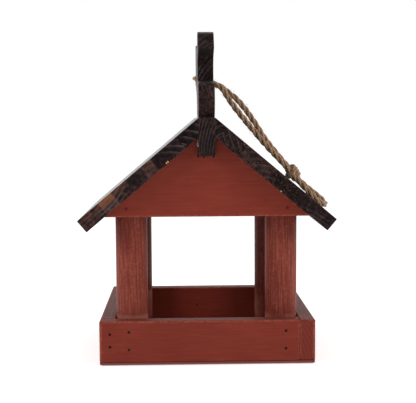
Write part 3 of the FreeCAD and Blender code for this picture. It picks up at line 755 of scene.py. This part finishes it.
def easedCopy(node, ease):
    build = bmesh.new()
    build.from_mesh(nodes[node].data)
    bmesh.ops.remove_doubles(build, verts=build.verts, dist=0.00001)
    bmesh.ops.dissolve_limit(build, angle_limit=math.radians(0.6), verts=build.verts,
                             edges=build.edges)
    weight = build.edges.layers.float.new("bevel_weight_edge")
    for edge in build.edges:
        sharp = edge.is_manifold and edge.is_convex and edge.calc_face_angle(0) > 0.45
        eased = float(sharp and edge.calc_length() > wood["shortestEased"] * mm)
        # the tray's outer corners and the edges it stands on were rubbed rounder
        outer = all(abs(abs(vertex.co.x) - trayCorner.x) + abs(abs(vertex.co.y) - trayCorner.y)
                    < 0.0002 or vertex.co.z < 0.0001 for vertex in edge.verts)
        usual = 0.15 if node == "tray_bottom_panel" else ease / wood["cornerEase"]
        edge[weight] = eased * (1.0 if outer else usual)
    mesh = bpy.data.meshes.new(camelName(node))
    build.to_mesh(mesh)
    build.free()
    mesh.materials.append(woodFinish[node])
    mesh.materials.append(woodFinish[node])  # the bevel's strips take this second slot
    blank = bpy.data.objects.new(camelName(node) + "Blank", mesh)
    bpy.context.scene.collection.objects.link(blank)
    bevel = blank.modifiers.new("easedArris", "BEVEL")
    bevel.width = wood["cornerEase"] * mm
    bevel.segments = wood["segments"]
    bevel.limit_method = "WEIGHT"
    bevel.material = 1
    mesh.shade_smooth()
    blank.modifiers.new("flatFaces", "WEIGHTED_NORMAL").keep_sharp = True
    shaped = plainMesh(blank, camelName(node))
    # rounded strips are marked for the finish: rubbed wear, and a painted highlight
    tray = node.startswith("tray") and "panel" not in node
    rounded = [face.material_index == 1 or (tray and max(abs(c) for c in face.normal) < 0.998)
               for face in shaped.polygons]
    # the lowest arrises get little wear and little painted highlight
    arrisAmount = [1.0 if face.center.z > wood["arrisFullAbove"] * mm else 0.15 for face in shaped.polygons]
    arris = shaped.attributes.new("arris", "FLOAT", "FACE")
    arris.data.foreach_set("value", [mark * amount for mark, amount in zip(rounded, arrisAmount)])
    shaped.polygons.foreach_set("material_index", [0] * len(shaped.polygons))
    return shaped


for node, finish in woodFinish.items():
    dark = finish in (leftStain, rightStain, plateStain)
    shaped = easedCopy(node, wood["roofEase"] if dark else wood["ease"])
    addPiece(camelName(node), shaped, "feeder", finish, [node])
print("wood eased and finished")


# Nails: one tree sets a headed nail at every place a CAD nail has its head

nail = {"head": 2.5, "headThickness": 0.7, "shank": 1.4, "sink": 0.45, "tilt": 0.07,
        "seed": 5, "sides": 14}


def nailSteel(name, tints):
    # wire nails punched in and partly painted over: dark, dull, pitted
    material, tree, shader = newMaterial(name)
    place = addNode(tree, "ShaderNodeTexCoord").outputs["Object"]
    flaked = addNode(tree, "ShaderNodeTexNoise", {"Vector": place, "Scale": 900, "Detail": 3})
    tint = addNode(tree, "ShaderNodeValToRGB", {0: flaked}, [
        (at, colour(code)) for at, code in zip((0.40, 0.55, 0.66), tints)])
    tree.links.new(tint.outputs[0], shader.inputs["Base Color"])
    bare = addNode(tree, "ShaderNodeValToRGB", {0: flaked}, [
        (0.58, (0, 0, 0, 1)), (0.74, (0.5, 0.5, 0.5, 1))])
    tree.links.new(bare.outputs[0], shader.inputs["Metallic"])
    shader.inputs["Roughness"].default_value = 0.55
    shader.inputs["Specular IOR Level"].default_value = 0.2
    bump = addNode(tree, "ShaderNodeBump", {"Height": flaked, "Strength": 0.5,
                                            "Distance": 0.1 * mm})
    tree.links.new(bump.outputs[0], shader.inputs["Normal"])
    return material


def nailTree():
    tree = bpy.data.node_groups.new("drivenNails", "GeometryNodeTree")
    face = tree.interface
    face.new_socket(name="Geometry", in_out="INPUT", socket_type="NodeSocketGeometry")
    for name in ("Head", "Head Thickness", "Shank", "Length", "Sink", "Tilt"):
        face.new_socket(name=name, in_out="INPUT", socket_type="NodeSocketFloat")
    for name in ("Sides", "Seed"):
        face.new_socket(name=name, in_out="INPUT", socket_type="NodeSocketInt")
    face.new_socket(name="Material", in_out="INPUT", socket_type="NodeSocketMaterial")
    face.new_socket(name="Geometry", in_out="OUTPUT", socket_type="NodeSocketGeometry")
    start = addNode(tree, "NodeGroupInput").outputs

    sized = {}
    for use, size, share in (("crownRadius", "Head", 0.4), ("headRadius", "Head", 0.5),
                             ("underRadius", "Head", 0.44), ("crownDepth", "Head Thickness", 0.4),
                             ("headDepth", "Head Thickness", 0.6),
                             ("crownFoot", "Head Thickness", -0.4),
                             ("headFoot", "Head Thickness", -1.0), ("radius", "Shank", 0.5),
                             ("pointLength", "Shank", 1.6), ("tip", "Length", -1.0),
                             ("sunk", "Sink", -1.0), ("leftTilt", "Tilt", -1.0)):
        sized[use] = addNode(tree, "ShaderNodeMath", {0: start[size], 1: share},
                             operation="MULTIPLY")
    straight = addNode(tree, "ShaderNodeMath", {0: start["Length"], 1: sized["pointLength"]},
                       operation="SUBTRACT")
    shoulder = addNode(tree, "ShaderNodeMath", {0: sized["tip"], 1: sized["pointLength"]},
                       operation="ADD")
    joined = addNode(tree, "GeometryNodeJoinGeometry")
    # head, crown, shank and point, each a cone: radius above, radius below, depth, foot
    for above, below, depth, foot in (
            (sized["headRadius"], sized["underRadius"], sized["headDepth"], sized["headFoot"]),
            (sized["crownRadius"], sized["headRadius"], sized["crownDepth"],
             sized["crownFoot"]),
            (sized["radius"], sized["radius"], straight, shoulder),
            (sized["radius"], 0.0, sized["pointLength"], sized["tip"])):
        cone = addNode(tree, "GeometryNodeMeshCone",
                       {"Vertices": start["Sides"], "Radius Top": above,
                        "Radius Bottom": below, "Depth": depth})
        lift = addNode(tree, "ShaderNodeCombineXYZ", {2: foot})
        part = addNode(tree, "GeometryNodeTransform", {"Geometry": cone, "Translation": lift})
        tree.links.new(part.outputs[0], joined.inputs[0])
    way = addNode(tree, "GeometryNodeInputNamedAttribute", {"Name": "outward"},
                  data_type="FLOAT_VECTOR")
    upright = addNode(tree, "FunctionNodeAlignRotationToVector", {"Vector": way}, axis="Z")
    placed = addNode(tree, "GeometryNodeInstanceOnPoints",
                     {"Points": start["Geometry"], "Instance": joined, "Rotation": upright})
    lowTilt = addNode(tree, "ShaderNodeCombineXYZ",
                      {0: sized["leftTilt"], 1: sized["leftTilt"], 2: -3.0})
    highTilt = addNode(tree, "ShaderNodeCombineXYZ",
                       {0: start["Tilt"], 1: start["Tilt"], 2: 3.0})
    tilt = addNode(tree, "FunctionNodeRandomValue",
                   {0: lowTilt, 1: highTilt, "Seed": start["Seed"]}, data_type="FLOAT_VECTOR")
    down = addNode(tree, "ShaderNodeCombineXYZ", {2: sized["sunk"]})
    sunk = addNode(tree, "GeometryNodeTranslateInstances",
                   {"Instances": placed, "Translation": down})
    leaning = addNode(tree, "GeometryNodeRotateInstances",
                      {"Instances": sunk, "Rotation": tilt})
    real = addNode(tree, "GeometryNodeRealizeInstances", {0: leaning})
    coated = addNode(tree, "GeometryNodeSetMaterial",
                     {"Geometry": real, "Material": start["Material"]})
    addNode(tree, "NodeGroupOutput", {0: coated})
    return tree


def nailPlaces(node):
    # each loose part of the CAD node is one nail; its wide end is the head
    build = bmesh.new()
    build.from_mesh(nodes[node].data)
    bmesh.ops.remove_doubles(build, verts=build.verts, dist=0.00001)
    unseen, found = set(build.verts), []
    while unseen:
        island, waiting = [], [unseen.pop()]
        while waiting:
            vertex = waiting.pop()
            island.append(vertex.co.copy())
            for edge in vertex.link_edges:
                other = edge.other_vert(vertex)
                if other in unseen:
                    unseen.discard(other)
                    waiting.append(other)
        one = min(island, key=lambda co: (round(co.x, 5), round(co.y, 5), round(co.z, 5)))
        far = max(island, key=lambda co: (co - one).length)
        near = max(island, key=lambda co: (co - far).length)
        axis = (near - far).normalized()
        ends = []
        for sign in (1, -1):
            reach = max(co.dot(axis) * sign for co in island)
            rim = [co for co in island if co.dot(axis) * sign > reach - 0.0011]
            middle = sum(rim, Vector()) / len(rim)
            ends.append((max((co - middle).length for co in rim), middle))
        ends.sort(key=lambda end: end[0])
        outward = (ends[1][1] - ends[0][1]).normalized()
        reach = max(co.dot(outward) for co in island)
        top = [co for co in island if co.dot(outward) > reach - 0.0002]
        length = reach - min(co.dot(outward) for co in island)
        found.append((sum(top, Vector()) / len(top), outward, length))
    build.free()
    return found


bareSteel = nailSteel("punchedNailSteel", ("#0c0605", "#150a08", "#241a17"))
paintedSteel = nailSteel("paintedOverNailSteel", ("#4a1a14", "#5f2219", "#6e2a20"))
nailNodes = nailTree()
for number, node in enumerate(("tray_corner_nails", "tray_post_nails", "gable_nails",
                               "roof_nails", "bottom_panel_nails")):
    places = sorted(nailPlaces(node), key=lambda place: tuple(place[0]))
    dots = bpy.data.meshes.new(node + "Places")
    dots.from_pydata([place[0] for place in places], [], [])
    way = dots.attributes.new("outward", "FLOAT_VECTOR", "POINT")
    way.data.foreach_set("vector", [c for place in places for c in place[1]])
    length = min(place[2] for place in places)
    steel = paintedSteel if node == "gable_nails" else bareSteel
    made = grow(camelName(node), dots, nailNodes,
                {"Head": nail["head"] * mm, "Head Thickness": nail["headThickness"] * mm,
                 "Shank": nail["shank"] * mm, "Length": length - nail["sink"] * mm,
                 "Sink": nail["sink"] * mm, "Tilt": nail["tilt"], "Sides": nail["sides"],
                 "Seed": nail["seed"] + number, "Material": steel})
    addPiece(camelName(node), made, "feeder", steel, [node])
    print(node, len(places), "nails")


# Glue beads that squeezed out beside the plate

glue = {"radius": 1.5, "height": 3.2, "fromFace": 1.6, "uneven": 0.35}


def driedGlue():
    # wood glue dried to a clouded grey skin
    material, tree, shader = newMaterial("driedWoodGlue")
    place = addNode(tree, "ShaderNodeTexCoord").outputs["Object"]
    cloud = addNode(tree, "ShaderNodeTexNoise", {"Vector": place, "Scale": 700, "Detail": 3})
    tint = addNode(tree, "ShaderNodeValToRGB", {0: cloud}, [
        (0.35, colour("#6b5a54")), (0.65, colour("#a1958c"))])
    tree.links.new(tint.outputs[0], shader.inputs["Base Color"])
    shader.inputs["Roughness"].default_value = 0.35
    bump = addNode(tree, "ShaderNodeBump", {"Height": cloud, "Strength": 0.5,
                                            "Distance": 0.2 * mm})
    tree.links.new(bump.outputs[0], shader.inputs["Normal"])
    return material


def glueMesh():
    # each bead is an uneven drop in the corner between plate and gable
    build = bmesh.new()
    low, high, middle = corners("ridge_glue_beads")
    across, upright, inset = (glue[key] * mm for key in ("radius", "height", "fromFace"))
    for side, face in ((-1, low.y + inset), (1, high.y - inset)):
        made = bmesh.ops.create_icosphere(build, subdivisions=4, radius=1)["verts"]
        for vertex in made:
            lump = noise.noise(vertex.co * 2.1 + Vector((side * 5, 0, 0)))
            bulge = 1 + glue["uneven"] * lump
            vertex.co = Vector((vertex.co.x * across * bulge + side * plateHigh.x,
                                vertex.co.y * across * bulge + face,
                                vertex.co.z * upright * bulge + middle.z))
    mesh = bpy.data.meshes.new("glueBeads")
    build.to_mesh(mesh)
    build.free()
    mesh.shade_smooth()
    return mesh


addPiece("ridgeGlueBeads", glueMesh(), "feeder", driedGlue(),
         ["ridge_glue_beads"])
print("glue beads shaped")


# Studio: pale floor, white surroundings, a soft light each side in front

studio = {"floorSize": 8, "floorDrop": 0.0005, "surroundings": 1.0, "frontShare": 0.42,
          "lightPower": 12.5, "lightSize": 0.7, "floorGlow": 0.35,
          "leftLight": (-1.3, -0.75, 0.75), "rightLight": (1.3, -0.75, 0.75)}
floorMesh = bpy.data.meshes.new("floor")
reach = studio["floorSize"]
floorMesh.from_pydata([(-reach, -reach, 0), (reach, -reach, 0), (reach, reach, 0),
                       (-reach, reach, 0)], [], [(0, 1, 2, 3)])
floor = bpy.data.objects.new("floor", floorMesh)
bpy.context.scene.collection.objects.link(floor)
floor.location.z = -studio["floorDrop"]
# painted board, rolled matt white, with a faint glow of its own so that shadows stay light
paleFloor, _, floorShader = newMaterial("whiteStudioFloor")
floorShader.inputs["Base Color"].default_value = colour("#f7f7f6")
floorShader.inputs["Roughness"].default_value = 0.9
floorShader.inputs["Specular IOR Level"].default_value = 0.0
floorShader.inputs["Emission Color"].default_value = (1, 1, 1, 1)
floorShader.inputs["Emission Strength"].default_value = studio["floorGlow"]
floorMesh.materials.append(paleFloor)

world = bpy.data.worlds.new("whiteStudio")
bpy.context.scene.world = world
world.use_nodes = True
worldTree = world.node_tree
worldTree.nodes.clear()
heading = addNode(worldTree, "ShaderNodeSeparateXYZ", {
    0: addNode(worldTree, "ShaderNodeTexCoord").outputs["Generated"]}).outputs[1]
strength = addNode(worldTree, "ShaderNodeMapRange", {
    0: heading, 1: -0.6, 2: 0.2, 3: studio["surroundings"] * studio["frontShare"],
    4: studio["surroundings"]})
glow = addNode(worldTree, "ShaderNodeBackground", {"Color": (1, 1, 1, 1), "Strength": strength})
addNode(worldTree, "ShaderNodeOutputWorld", {"Surface": glow.outputs[0]})

aim = Vector((0, 0, 0.16))
for name in ("leftLight", "rightLight"):
    lamp = bpy.data.lights.new(name, "AREA")
    lamp.energy = studio["lightPower"]
    lamp.shape = "SQUARE"
    lamp.size = studio["lightSize"]
    holder = bpy.data.objects.new(name, lamp)
    holder.location = studio[name]
    holder.rotation_euler = (aim - Vector(studio[name])).to_track_quat("-Z", "Y").to_euler()
    bpy.context.scene.collection.objects.link(holder)
bpy.context.scene.view_settings.view_transform = "Standard"
print("studio lit")
